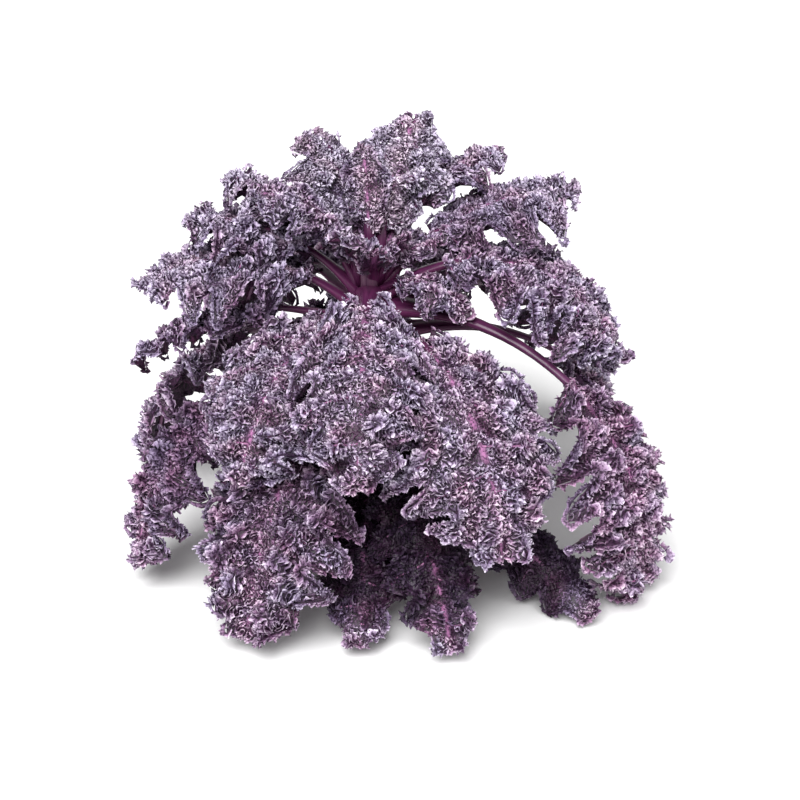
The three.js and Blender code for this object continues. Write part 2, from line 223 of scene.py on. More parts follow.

# bearing, height, rise, fall, length, half width, bare share, turn and roll of each leaf as in the
# solids. pink is its tint from bluish lavender to pink, frill the size of its frills, light how pale
# the hollows between them are and so how much painted shade the frills get, inner_shade how dark
# the blade is painted near the stem as shade, coarse the size of the faces of its frills and pale
# the tint of its stalk.
LEAVES = [
    # upright leaves at the back of the crown
    dict(bearing=67, height=262, rise=83, fall=14, length=182, width=52, bare=0.26, turn=1, roll=11,
         pink=0.05, frill=0.8, light=0.72),
    dict(bearing=113, height=254, rise=68, fall=24, length=175, width=48, bare=0.28, turn=7, roll=23,
         pink=0.05, frill=0.8, light=0.72),
    dict(bearing=153, height=263, rise=58, fall=-3, length=174, width=52, bare=0.28, turn=10, roll=13,
         pink=0.12, frill=0.8, inner_shade=0.15, light=0.6),
    dict(bearing=46, height=250, rise=68, fall=-13, length=214, width=38, bare=0.44, turn=-1, roll=-19,
         pink=0.15, frill=0.8, inner_shade=0.15, light=0.44),
    # leaves that spread to the sides
    dict(bearing=18, height=267, rise=44, fall=-12, length=212, width=74, bare=0.28, turn=4, roll=-2,
         pink=0.15, frill=0.82, inner_shade=0.35, light=0.42),
    dict(bearing=171, height=255, rise=48, fall=-14, length=188, width=60, bare=0.3, turn=2, roll=5,
         pink=0.15, frill=0.82, inner_shade=0.35, light=0.42),
    dict(bearing=186, height=238, rise=44, fall=-34, length=228, width=74, bare=0.24, roll=4,
         pink=0.15, frill=0.84, inner_shade=0.3, light=0.4),
    dict(bearing=198, height=221, rise=29, fall=-38, length=236, width=39, bare=0.34, turn=1, roll=34,
         pink=0.2, frill=0.85, inner_shade=0.45),
    dict(bearing=-13, height=254, rise=41, fall=-79, length=286, width=78, bare=0.24, turn=-1, roll=1,
         pink=0.25, frill=0.92, inner_shade=0.15),
    # leaves that arch towards the front
    dict(bearing=238, height=242, rise=18, fall=-78, length=254, width=82, bare=0.22,
         pink=0.28, frill=0.92, light=0.2),
    dict(bearing=268, height=260, rise=20, fall=-68, length=276, width=64, bare=0.2,
         pink=0.3, frill=0.92, light=0.2),
    dict(bearing=-63, height=226, rise=21, fall=-86, length=326, width=88, bare=0.24, turn=-2, roll=3,
         pink=0.4, frill=0.98, light=0.16),
    # long outer leaves that hang to the ground
    dict(bearing=210, height=205, rise=4, fall=-86, length=340, width=54, bare=0.42,
         pink=0.4, frill=1.0, inner_shade=0.5),
    dict(bearing=246, height=192, rise=2, fall=-78, length=336, width=78, bare=0.34,
         pink=0.5, frill=1.08, inner_shade=0.3),
    dict(bearing=-32, height=242, rise=13, fall=-107, length=450, width=74, bare=0.46, roll=4,
         pink=0.66, frill=1.1, inner_shade=0.25),
    # low leaves near the ground, and one that hangs at the left side
    dict(bearing=-44, height=84, rise=-4, fall=-29, length=284, width=34, bare=0.42, roll=30,
         pink=0.1, frill=0.9, inner_shade=0.9),
    dict(bearing=268, height=92, rise=0, fall=-42, length=250, width=44, bare=0.2,
         pink=0.2, frill=0.9, inner_shade=0.96),
    dict(bearing=-74, height=122, rise=2, fall=-54, length=286, width=48, bare=0.22,
         pink=0.2, frill=0.9, inner_shade=0.96),
    dict(bearing=184, height=140, rise=-10, fall=-74, length=192, width=50, bare=0.3,
         pink=0.4, frill=0.95),
    # young leaves round the heart
    dict(bearing=262, height=273, rise=86, fall=0, length=94, width=28, bare=0.24, turn=-60,
         pink=0.2, frill=0.8, light=0.12, pale=0.45),
    dict(bearing=-38, height=261, rise=42, fall=-58, length=112, width=30, bare=0.24,
         pink=0.25, frill=0.8),
    dict(bearing=176, height=278, rise=75, fall=-10, length=136, width=38, bare=0.26, roll=-14,
         pink=0.15, frill=0.8, light=0.12),
    dict(bearing=99, height=282, rise=89, fall=47, length=112, width=26, bare=0.24,
         pink=0.25, frill=0.8, light=0.36),
    # leaves at the back
    dict(bearing=72, height=232, rise=24, fall=-74, length=320, width=84, bare=0.22,
         pink=0.25, frill=1.06, coarse=1.7),
    dict(bearing=124, height=230, rise=20, fall=-76, length=312, width=84, bare=0.22,
         pink=0.25, frill=1.06, coarse=1.7),
    dict(bearing=36, height=222, rise=16, fall=-88, length=372, width=76, bare=0.44,
         pink=0.4, frill=1.12, coarse=1.7),
    dict(bearing=98, height=192, rise=2, fall=-76, length=372, width=80, bare=0.34,
         pink=0.4, frill=1.12, coarse=1.7),
    dict(bearing=154, height=200, rise=4, fall=-90, length=366, width=76, bare=0.34,
         pink=0.4, frill=1.12, coarse=1.7),
    dict(bearing=3, height=210, rise=12, fall=-94, length=352, width=66, bare=0.5,
         pink=0.4, frill=1.12, coarse=1.6),
]

# The heart: tiny leaves that stand round the top of the stem. Each pair is the lowest leaf's value and
# the topmost leaf's.
HEART_COUNT = 8
HEART_SEED = 100
HEART_HEIGHT = (272, 281)
HEART_RISE = (56, 84)
HEART_FALL = (8, 52)
HEART_LENGTH = (74, 44)
HEART_WIDTH = (21, 12)
HEART_LOOK = dict(pink=0.4, frill=0.72, light=0.1, bare=0.22, turn=10)

# The stub of a leaf stalk that broke off beside the crown
STUB = dict(bearing=0, height=246, rise=9, fall=12, length=74, width=10, bare=1)
STUB_SEED = 200
STUB_ROWS = 20
STUB_RADIUS = 5.2
STUB_FLATNESS = 0.85
STUB_SWELLING = 0.22  # how much thicker it is near its end
STUB_SWELLING_PLACE = 0.9
STUB_SWELLING_SPREAD = 0.12
STUB_ROOT = 0.6  # how much thicker it is at the stem
STUB_ROOT_SPREAD = 0.25
STUB_RIM = 0.75  # radius of the rim of its broken end, as a share of the stub's
STUB_RUN = 0.3  # how far its colours run along a stalk's ramp


# Small helpers

def lerp(a, b, t):
    """a where t is 0, b where it is 1, and in proportion between them."""
    return a + (b - a) * t


def smooth(low, high, value):
    """0 below low, 1 above high, with a soft step between them."""
    t = np.clip((value - low) / (high - low), 0, 1)
    return t * t * (3 - 2 * t)


def bell(value, spread):
    """1 at 0, falling off to both sides."""
    return np.exp(-((value / spread) ** 2))


def unit(vectors):
    """Vectors of the same directions, 1 long."""
    return vectors / np.maximum(np.linalg.norm(vectors, axis=-1, keepdims=True), 1e-9)


def sign_of(v):
    return np.where(v > 0, 1, -1)


def spread_out(rows, columns):
    """Two grids with the value of each point's row and of its column."""
    return np.meshgrid(rows, columns, indexing="ij")


def ripples(rng, wavelength, count, spread):
    """A random field of waves of about one length, as a function of u and v, of about unit size."""
    turn = rng.uniform(0, 2 * math.pi, count)
    pace = 2 * math.pi / wavelength * (1 + rng.uniform(-spread, spread, count))
    phase = rng.uniform(0, 2 * math.pi, count)

    def field(u, v):
        total = np.zeros(np.broadcast(u, v).shape)
        for a, k, p in zip(turn, pace, phase):
            total += np.cos(k * (math.cos(a) * u + math.sin(a) * v) + p)
        return total / math.sqrt(count / 2)

    return field


def new_object(name, data):
    thing = bpy.data.objects.new(name, data)
    bpy.context.scene.collection.objects.link(thing)
    return thing


def mesh_object(name, points, quads, fields, material):
    """A smooth mesh from points in millimetres, four-sided faces and a value per point by name."""
    mesh = bpy.data.meshes.new(name)
    mesh.vertices.add(len(points))
    mesh.vertices.foreach_set("co", (points * MM).astype(np.float32).ravel())
    mesh.loops.add(4 * len(quads))
    mesh.loops.foreach_set("vertex_index", quads.astype(np.int32).ravel())
    mesh.polygons.add(len(quads))
    mesh.polygons.foreach_set("loop_start", np.arange(len(quads), dtype=np.int32) * 4)
    mesh.update(calc_edges=True)
    for key, values in fields.items():
        attribute = mesh.attributes.new(key, "FLOAT", "POINT")
        attribute.data.foreach_set("value", values.astype(np.float32))
    mesh.shade_smooth()
    mesh.materials.append(material)
    return new_object(name, mesh)


def grid_quads(rows, columns):
    """The faces of a grid of points that is stored row by row."""
    corner = (np.arange(rows - 1)[:, None] * columns + np.arange(columns - 1)[None, :]).ravel()
    return np.stack([corner, corner + columns, corner + columns + 1, corner + 1], axis=1)


def ring_quads(rows, sides):
    """The faces between closed rings of points that are stored ring by ring."""
    ring = np.arange(rows - 1)[:, None] * sides
    first = np.arange(sides)[None, :]
    second = (first + 1) % sides
    corners = (ring + first, ring + second, ring + sides + second, ring + sides + first)
    return np.stack([corner.ravel() for corner in corners], axis=1)


class Pile:
    """Gathers the grids and strips of one piece into one mesh."""

    def __init__(self):
        self.points = []
        self.quads = []
        self.fields = []
        self.count = 0

    def add(self, points, quads, **fields):
        self.points.append(points)
        self.quads.append(quads + self.count)
        self.fields.append({k: np.broadcast_to(v, len(points)) for k, v in fields.items()})
        self.count += len(points)

    def piece(self, name, material, slot, *replaced):
        keys = sorted({key for fields in self.fields for key in fields})
        joined = {
            key: np.concatenate([f.get(key, np.zeros(len(p))) for f, p in zip(self.fields, self.points)])
            for key in keys
        }
        points = np.concatenate(self.points)
        thing = mesh_object(name, points, np.concatenate(self.quads), joined, material)
        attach(thing, "root")
        if replaced:
            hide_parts(*replaced)


# The leaf's form, as in the solids

low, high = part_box("stem")
STEM_AXIS = np.array([(low.x + high.x) / 2, (low.y + high.y) / 2, 0]) / MM
STEM_WALL = STEM_HEIGHT - STEM_DOME


def stem_radius(z):
    body = lerp(STEM_BASE_RADIUS, STEM_CROWN_RADIUS, np.clip(z / STEM_WALL, 0, 1) ** STEM_TAPER)
    into_dome = np.clip((z - STEM_WALL) / STEM_DOME, 0, 1)
    return body * np.sqrt(1 - into_dome**2)


def eased(z):
    """Heights near the ground, eased so that what hangs lower lies along it."""
    span = GROUND_BEND - LEAST_CLEARANCE
    bent = LEAST_CLEARANCE + span * np.exp((np.minimum(z, GROUND_BEND) - GROUND_BEND) / span)
    return np.where(z > GROUND_BEND, z, bent)


class Leaf:
    """One leaf's midrib and blade, in its own frame, where it heads along +X."""

    turn = 0
    roll = 0
    frill = 1
    # how pale the frill hollows are, which sets how much painted shade a leaf's frills get
    light = 0.1
    # painted shade on the blade near the stem, none by default
    inner_shade = 0
    coarse = 1
    pale = 0

    def __init__(self, name, number, row):
        self.name = name
        for key, value in row.items():
            setattr(self, key, value)
        self.blade_length = self.length * (1 - self.bare)
        self.lobes = max(2, math.floor(self.blade_length / LOBE_LENGTH + 0.5))
        self.rows = max(LEAST_ROWS, math.floor(self.blade_length / ROW_LENGTH + 0.5))
        self.narrowness = min(1, self.width / WIDE_BLADE)
        self.trace_midrib()
        rng = np.random.default_rng(SEED + number)
        self.puff = ripples(rng, *PUFF_WAVES)
        self.ruffle = ripples(rng, *RUFFLE_WAVES)
        self.roll_over = ripples(rng, *ROLL_WAVES)
        self.uneven = ripples(rng, *CLUMP_WAVES)
        self.curls = ripples(rng, *CURL_WAVES)
        self.patches = ripples(rng, *PATCH_WAVES)
        self.tint = ripples(rng, *TINT_WAVES)
        length, count, spread = FRILL_WAVES
        self.run = ripples(rng, length * self.frill, count, spread)

    def trace_midrib(self):
        share = np.arange(MIDRIB_STEPS + 1) / MIDRIB_STEPS
        slope = np.radians(lerp(self.rise, self.fall, share**LATE_BEND))
        heading = np.radians(self.turn * share**2)
        self.tangent = np.stack(
            [np.cos(slope) * np.cos(heading), np.cos(slope) * np.sin(heading), np.sin(slope)], axis=1
        )
        flat = np.stack([-np.sin(heading), np.cos(heading), np.zeros_like(share)], axis=1)
        turned = np.radians(self.roll) * share[:, None]
        self.side = flat * np.cos(turned) + np.cross(self.tangent, flat) * np.sin(turned)
        self.up = np.cross(self.tangent, self.side)
        start = np.array([[STALK_ROOT * stem_radius(self.height), 0, self.height]])
        moves = np.cumsum(self.tangent[:-1] * self.length / MIDRIB_STEPS, axis=0)
        self.line = np.concatenate([start, start + moves])

    def station(self, share):
        """Point, tangent, side and up at shares of the whole leaf's length."""
        place = np.clip(share, 0, 1) * MIDRIB_STEPS
        k = np.minimum(place.astype(int), MIDRIB_STEPS - 1)
        t = (place - k)[..., None]
        return [lerp(a[k], a[k + 1], t) for a in (self.line, self.tangent, self.side, self.up)]

    def stalk_radius(self, share):
        full = STALK_LEAST_RADIUS + self.length * STALK_STOUTNESS
        flare = 1 + STALK_FLARE * np.exp(-share * self.length / STALK_FLARE_LENGTH)
        return full * lerp(1, STALK_TIP, share**STALK_TAPER) * flare

    def outline(self, share):
        """Half width of the blade before lobes."""
        phase = lerp(BLADE_ENDS, 1 - BLADE_ENDS, np.clip(share, 0, 1) ** BLADE_WIDEST)
        return self.width * np.sin(math.pi * phase) ** BLADE_FULLNESS

    def lobe_wave(self, share, side):
        return np.cos(2 * math.pi * (self.lobes * share + np.where(side > 0, 0, LOBE_SHIFT)))

    def notch(self, share, side):
        return LOBE_DEPTH * (0.5 + 0.5 * self.lobe_wave(share, side)) ** NOTCH_SHARPNESS

    def reach(self, share, out, side):
        """Distance from the midrib of a point that is out of the way from it to the margin."""
        return self.outline(share) * (1 - self.notch(share, side) * out) * out

    def out_at(self, share, v):
        """The inverse of reach: how far out a point lies that is v from the midrib."""
        part = np.abs(v) / self.outline(share)
        depth = np.maximum(self.notch(share, sign_of(v)), 1e-4)
        root = 1 - 4 * depth * part
        beyond = 9
        return np.where(root > 0, (1 - np.sqrt(np.maximum(root, 0))) / (2 * depth), beyond)

    def puffed(self, share, v):
        return self.puff(share * self.blade_length, v)

    def surface(self, share, v):
        """Points of the blade's middle surface: share along the blade, v across it in millimetres."""
        out = np.minimum(self.out_at(share, v), FARTHEST_OUT)
        reach = np.abs(v)
        wave = self.lobe_wave(share, sign_of(v))
        lift = NOTCH_RISE * self.width * out**1.5 * wave - BLADE_ARCH * reach * reach / self.width
        detail = EDGE_RUFFLE * out**2 * np.cos(math.pi * share * self.rows)
        detail = detail + PUFF_HEIGHT * smooth(*PUFF_RANGE, out) * self.puffed(share, v)
        swell = smooth(*LOBE_PUFF_START, out) * (1 - smooth(*LOBE_PUFF_END, out))
        detail = detail - LOBE_PUFF * wave * swell
        detail = detail - EDGE_DROP * smooth(*EDGE_DROP_RANGE, out) ** 2
        lift = lift + self.narrowness * detail
        point, tangent, across, up = self.station(lerp(self.bare, 1, share))
        made = (
            point
            + across * v[..., None]
            + tangent * (BLADE_SWEEP * reach * (1 - share**2))[..., None]
            + up * lift[..., None]
        )
        made[..., 2] = eased(made[..., 2])
        return made

    def frame_at(self, share, v):
        """Point, outward normal and the two directions along the surface, at shares and distances."""
        step = 0.6
        along = step / self.blade_length
        at = self.surface(share, v)
        du = unit(self.surface(share + along, v) - self.surface(share - along, v))
        dv = unit(self.surface(share, v + step) - self.surface(share, v - step))
        return at, unit(np.cross(du, dv)), du, dv

    def placed(self, points):
        """Points of the leaf's own frame, turned and moved to its place on the stem."""
        a = math.radians(self.bearing)
        x = points[..., 0] * math.cos(a) - points[..., 1] * math.sin(a)
        y = points[..., 0] * math.sin(a) + points[..., 1] * math.cos(a)
        z = np.maximum(points[..., 2], GROUND_CLEARANCE)
        return (np.stack([x, y, z], axis=-1) + STEM_AXIS).reshape(-1, 3)

    def pinkness(self, share, v):
        """Tint of the frills: pinker beside the midrib, and in patches."""
        drift = TINT_SWING * self.tint(share * self.blade_length, v)
        return np.clip(self.pink + drift + MIDRIB_PINK * bell(v, MIDRIB_PINK_SPREAD), 0, 1)

    def brightness(self, share, v):
        """How bright the frills are: darker in painted shade in the valleys, pits and clefts of the
        blade, and near the stem on leaves that are given painted shade there.
        """
        puffed = self.puffed(share, v)
        # painted shade in the blade's valleys, in its deepest pits and in the clefts between clumps
        valley = lerp(VALLEY_SHADE, 1, smooth(*VALLEY_RANGE, puffed))
        pit = lerp(PIT_SHADE, 1, smooth(*PIT_RANGE, puffed))
        uneven = self.uneven(share * self.blade_length, v)
        cleft = lerp(CLUMP_SHADE, 1, smooth(*CLEFT_RANGE, uneven))
        # painted shade near the stem, where the leaves above would shade the blade, fading towards the
        # tip
        inside = lerp(1 - self.inner_shade, 1, smooth(INNER_SHADE_START * self.inner_shade, INNER_SHADE_END, share))
        return lerp(valley * pit * cleft, 1, LIGHT_EASE * self.light) * inside

    def bare_patch(self, share, v):
        """1 on the smooth strips beside the midrib, which come and go, and 0 where frills stand."""
        swing = self.patches(share * self.blade_length, v * STRIP_STRETCH)
        half = STRIP_HALF + STRIP_SWING * np.clip(swing, *STRIP_LIMITS)
        return 1 - smooth(0, STRIP_EDGE, np.abs(v) - half)

    def vein_distance(self, share, v):
        """Distance along the blade to the nearest side vein, which runs into the middle of a lobe."""
        along = self.lobes * share + 0.5 + np.where(v > 0, 0, LOBE_SHIFT)
        return np.abs(along - np.round(along)) / self.lobes * self.blade_length


# The blade's shell, frills and margin

def add_shell(pile, leaf):
    """The thin sheet that the frills stand on. An odd number of points puts one on the midrib."""
    rows = max(LEAST_SHELL_ROWS, int(leaf.blade_length / SHELL_STEP))
    columns = max(LEAST_SHELL_COLUMNS, int(2 * leaf.width / SHELL_STEP)) | 1
    share, out = spread_out(np.linspace(0, 1, rows), np.linspace(-1, 1, columns))
    v = leaf.reach(share, np.abs(out), sign_of(out)) * sign_of(out)
    at, normal, _, _ = leaf.frame_at(share, v)
    quads = grid_quads(rows, columns)
    side_vein = VEIN_TINT * bell(leaf.vein_distance(share, v), VEIN_TINT_SPREAD)
    shared = {
        "patch": leaf.bare_patch(share, v).ravel(),
        "vein": np.maximum(side_vein, bell(v, MIDRIB_TINT_SPREAD)).ravel(),
        "pink": leaf.pinkness(share, v).ravel(),
    }
    half = SHELL_THICKNESS / 2
    # outside the smooth strips the shell takes the darkest frill colour, the painted shade at the
    # frills' feet
    pile.add(leaf.placed(at + normal * half), quads, under=0.0, rim=0.0, **shared)
    pile.add(leaf.placed(at - normal * half), quads[:, ::-1], under=1.0, rim=0.0, **shared)


def isolines(field, present):
    """Where a field on a grid crosses zero: places in grid steps, and pairs of them as segments."""
    sign = field > 0
    down = (sign[:-1, :] != sign[1:, :]) & present[:-1, :] & present[1:, :]
    over = (sign[:, :-1] != sign[:, 1:]) & present[:, :-1] & present[:, 1:]
    number_down = np.full(down.shape, -1)
    number_down[down] = np.arange(down.sum())
    number_over = np.full(over.shape, -1)
    number_over[over] = np.arange(over.sum()) + down.sum()
    i, j = np.nonzero(down)
    t = np.clip(field[i, j] / (field[i, j] - field[i + 1, j]), LINE_MARGIN, 1 - LINE_MARGIN)
    first = np.stack([i + t, j.astype(float)], axis=1)
    i, j = np.nonzero(over)
    t = np.clip(field[i, j] / (field[i, j] - field[i, j + 1]), LINE_MARGIN, 1 - LINE_MARGIN)
    second = np.stack([i.astype(float), j + t], axis=1)
    edges = np.stack(
        [number_down[:, :-1], number_over[1:, :], number_down[:, 1:], number_over[:-1, :]], axis=-1
    )
    crossed = edges >= 0
    two = crossed.sum(-1) == 2
    pairs = edges[two][crossed[two]].reshape(-1, 2)
    four = edges[crossed.sum(-1) == 4]
    pairs = np.concatenate([pairs, four[:, [0, 3]], four[:, [1, 2]]])
    return np.concatenate([first, second]), pairs


def frill_lines(leaf):
    """Points on the blade where the frills stand, the direction across them, and their segments."""
    step = FRILL_STEP * leaf.coarse
    rows = int(leaf.blade_length / step) + 1
    columns = int(2 * leaf.width / step) + 1
    across = np.linspace(-leaf.width, leaf.width, columns)
    u, v = spread_out(np.linspace(0, leaf.blade_length, rows), across)
    share = u / leaf.blade_length
    field = leaf.run(u + BLADE_SWEEP * np.abs(v) * (1 - share**2), v)
    present = (leaf.out_at(share, v) < FRILL_REACH) & (leaf.bare_patch(share, v) < PATCH_LIMIT)
    places, pairs = isolines(field, present)
    du = u[1, 0] - u[0, 0]
    dv = v[0, 1] - v[0, 0]
    pu = places[:, 0] * du
    pv = places[:, 1] * dv - leaf.width
    slope_u, slope_v = np.gradient(field, du, dv)
    i, j = np.round(places).astype(int).T
    slope = unit(np.stack([slope_u[i, j], slope_v[i, j]], axis=1))
    a, b = pairs.T
    turned = (pu[b] - pu[a]) * slope[a, 1] < (pv[b] - pv[a]) * slope[a, 0]
    return pu, pv, slope, np.where(turned, b, a), np.where(turned, a, b)


def add_frills(pile, leaf):
    """Ruffled curtains that stand on the blade, with their rims rolled over and notched into curls."""
    pu, pv, slope, a, b = frill_lines(leaf)
    share = pu / leaf.blade_length
    at, normal, along, across = leaf.frame_at(share, pv)
    lean = unit(along * slope[:, :1] + across * slope[:, 1:])
    curls = np.clip(leaf.curls(pu, pv), -CURL_LIMIT, CURL_LIMIT)
    puffed = np.clip(leaf.puffed(share, pv), -PUFF_TALL_LIMIT, PUFF_TALL_LIMIT)
    tall = FRILL_HEIGHT * leaf.frill * (PUFF_TALL[0] + PUFF_TALL[1] * puffed)
    tall = tall * lerp(MIDRIB_TALL, 1, smooth(0, MIDRIB_REACH, np.abs(pv)))
    tall = tall * (1 + CLUMP_HEIGHT * leaf.uneven(pu, pv))
    tall = tall * (1 + FRILL_NOTCH * curls)
    ruffle = FRILL_RUFFLE * leaf.ruffle(pu, pv)
    curl = FRILL_CURL * np.tanh(ROLL_SHARPNESS * leaf.roll_over(pu, pv))
    points = []
    for height, waved, curled, _ in FRILL_ROWS:
        sideways = ruffle * waved + curl * curled
        points.append(leaf.placed(at + normal * (tall * height)[:, None] + lean * sideways[:, None]))
    count = len(pu)
    strip = np.stack([a, b, b + count, a + count], axis=1)
    quads = np.concatenate([strip + row * count for row in range(len(FRILL_ROWS) - 1)])
    # painted highlight on the curls that rise, painted shade in the dips between them
    crest = CREST_SHADE[0] + CREST_SHADE[1] * np.clip(curls, -1, 1)
    # colour's value of each row: painted shade towards the frill's foot, times the blade's painted
    # shade, pale at the rim
    rim = [leaf.light + (1 - leaf.light) * crest * shade for _, _, _, shade in FRILL_ROWS]
    rim = np.concatenate(rim) * np.tile(leaf.brightness(share, pv), len(FRILL_ROWS))
    pink = np.tile(leaf.pinkness(share, pv), len(FRILL_ROWS))
    pile.add(np.concatenate(points), quads, rim=rim, pink=pink)


def margin_line(leaf):
    """Evenly spaced points round the blade's margin, as shares and distances from the midrib."""
    fine = np.linspace(0, 1, MARGIN_SAMPLES)
    sides = [leaf.reach(fine, 1.0, np.full_like(fine, sign)) for sign in (-1, 1)]
    tip = np.linspace(-1, 1, TIP_SAMPLES)[1:-1]
    end = leaf.reach(np.ones_like(tip), np.abs(tip), sign_of(tip)) * sign_of(tip)
    share = np.concatenate([fine, np.ones_like(tip), fine[::-1]])
    v = np.concatenate([-sides[0], end, sides[1][::-1]])
    at = leaf.surface(share, v)
    walk = np.concatenate([[0], np.cumsum(np.linalg.norm(np.diff(at, axis=0), axis=1))])
    even = np.linspace(0, walk[-1], int(walk[-1] / (MARGIN_STEP * leaf.coarse)))
    return even, np.interp(even, walk, share), np.interp(even, walk, v)


def add_margins(pile, leaf):
    """The two frills that run round the blade's margin and stand out from it."""
    walk, share, v = margin_line(leaf)
    at, normal, _, _ = leaf.frame_at(share, v)
    forward = unit(np.gradient(at, axis=0))
    outward = unit(np.cross(forward, normal))
    bright = leaf.brightness(share, v)
    pink = np.tile(leaf.pinkness(share, v), len(MARGIN_ROWS))
    quads = grid_quads(len(MARGIN_ROWS), len(walk))
    for lean, phase in MARGIN_LEANS:
        drift = MARGIN_DRIFT * leaf.ruffle(walk * DRIFT_PATH[0], walk * DRIFT_PATH[1] + phase)
        beat = 2 * math.pi * walk / MARGIN_WAVE + drift + phase
        uneven = leaf.uneven(walk * UNEVEN_PATH[0], walk * UNEVEN_PATH[1] + phase)
        tall = MARGIN_LENGTH * leaf.frill * (1 + MARGIN_UNEVEN * uneven)
        tall = tall * (1 + MARGIN_BEAT * np.sin(0.5 * beat))
        away = outward * math.cos(lean) + normal * math.sin(lean)
        move = away * tall[:, None]
        move = move + normal * (MARGIN_RUFFLE * np.sin(beat))[:, None]
        move = move + forward * (MARGIN_SNAKE * MARGIN_RUFFLE * np.sin(2 * beat))[:, None]
        points = [leaf.placed(at + move * place) for place, _ in MARGIN_ROWS]
        # painted shade and highlight: lighter where the frill's wave turns up, darker towards the blade
        shade = MARGIN_SHADE[0] + MARGIN_SHADE[1] * np.sin(beat)
        rim = [bright * (leaf.light + (1 - leaf.light) * value * shade) for _, value in MARGIN_ROWS]
        pile.add(np.concatenate(points), quads, rim=np.concatenate(rim), pink=pink)


def add_blade(pile, leaf):
    """All of a blade: its shell and its frills."""
    add_shell(pile, leaf)
    add_frills(pile, leaf)
    add_margins(pile, leaf)


# The stalks, midribs and side veins

def add_tube(pile, leaf, centre, side, up, wide, high, sides, run, **fields):
    """A tapered tube along a line, grooved along its top, whose two ends close in on the line."""
    centre = np.concatenate([centre[:1], centre, centre[-1:]])
    side = np.concatenate([side[:1], side, side[-1:]])
    up = np.concatenate([up[:1], up, up[-1:]])
    wide = np.concatenate([wide[:1] * TUBE_CLOSING, wide, wide[-1:] * TUBE_CLOSING])
    high = np.concatenate([high[:1] * TUBE_CLOSING, high, high[-1:] * TUBE_CLOSING])
    run = np.concatenate([run[:1], run, run[-1:]])
    angle = np.arange(sides) * 2 * math.pi / sides
    grooved = 1 - GROOVE_DEPTH * bell(angle - math.pi / 2, GROOVE_SPREAD)
    ring = (
        centre[:, None, :]
        + side[:, None, :] * (np.cos(angle) * grooved)[None, :, None] * wide[:, None, None]
        + up[:, None, :] * (np.sin(angle) * grooved)[None, :, None] * high[:, None, None]
    )
    rows = len(centre)
    pile.add(
        leaf.placed(ring),
        ring_quads(rows, sides),
        run=np.repeat(run, sides),
        around_x=np.tile(np.cos(angle), rows),
        around_y=np.tile(np.sin(angle), rows),
        pale=leaf.pale,
        **fields,
    )


def add_stalk(pile, leaf):
    """A leaf's stalk and midrib, which starts inside the stem, and its side veins."""
    end = lerp(leaf.bare, 1, RIB_END)
    share = np.linspace(0, end, STALK_ROWS)
    centre, tangent, side, up = leaf.station(share)
    radius = leaf.stalk_radius(share)
    sink = RIB_SINK * radius * smooth(leaf.bare, leaf.bare + RIB_SINK_REACH, share)
    centre = centre - up * sink[:, None]
    centre[0] = centre[0] - tangent[0] * STALK_ROOT * stem_radius(leaf.height)
    centre[:, 2] = eased(centre[:, 2])
    sheath = 1 + SHEATH_SPREAD * bell(share * leaf.length, SHEATH_LENGTH)
    high = radius * STALK_FLATNESS * (1 + SHEATH_RISE * (sheath - 1))
    add_tube(pile, leaf, centre, side, up, radius * sheath, high, STALK_SIDES, share)
    for number in range(leaf.lobes):
        for sign in (1, -1):
            add_vein(pile, leaf, number, sign)


def add_vein(pile, leaf, number, sign):
    """A side vein that leaves the midrib and runs along the blade into a lobe."""
    place = (number + 0.5 - (0 if sign > 0 else LOBE_SHIFT)) / leaf.lobes
    if place > LAST_VEIN:
        return
    out = np.linspace(*VEIN_REACH, VEIN_SEGMENTS)
    share = np.full(VEIN_SEGMENTS, place)
    v = leaf.reach(share, out, np.full_like(out, sign)) * sign
    centre, normal, _, _ = leaf.frame_at(share, v)
    centre = centre - normal * VEIN_SINK
    forward = unit(np.gradient(centre, axis=0))
    sideways = unit(np.cross(normal, forward))
    radius = VEIN_RADIUS * leaf.stalk_radius(leaf.bare) * lerp(1.0, VEIN_TIP, out)
    run = np.full(VEIN_SEGMENTS, VEIN_RUN)
    add_tube(pile, leaf, centre, sideways, normal, radius, radius, VEIN_SIDES, run)


def add_stub(pile, stub):
    """The stub of a broken leaf stalk, a little swollen at its pale broken end."""
    share = np.concatenate([np.linspace(0, 1, STUB_ROWS), [1]])
    centre, _, side, up = stub.station(share)
    swelling = STUB_SWELLING * bell(share - STUB_SWELLING_PLACE, STUB_SWELLING_SPREAD)
    radius = STUB_RADIUS * (1 + swelling + STUB_ROOT * bell(share, STUB_ROOT_SPREAD))
    radius[-1] = STUB_RIM * radius[-1]
    cut = np.repeat(np.concatenate([np.zeros(STUB_ROWS), [1, 1, 1]]), STALK_SIDES)
    run = share * STUB_RUN
    add_tube(pile, stub, centre, side, up, radius, radius * STUB_FLATNESS, STALK_SIDES, run, cut=cut)


# The stem

def scar_field(z, angle):
    """The lift of the leaf scars and the strength of their colour, round the stem."""
    near = np.zeros(np.broadcast(z, angle).shape)
    for k in range(SCAR_COUNT):
        turn = angle - math.radians(k * GOLDEN_ANGLE)
        around = np.arctan2(np.sin(turn), np.cos(turn)) * STEM_BASE_RADIUS / SCAR_SPREAD
        along = (z - SCAR_START - SCAR_STEP * k) / SCAR_SPREAD
        near = np.maximum(near, np.exp(-(along**2) - around**2))
    lift = SCAR_RISE * near - SCAR_DENT * smooth(*SCAR_DENT_RANGE, near)
    return lift, smooth(*SCAR_COLOUR_RANGE, near)


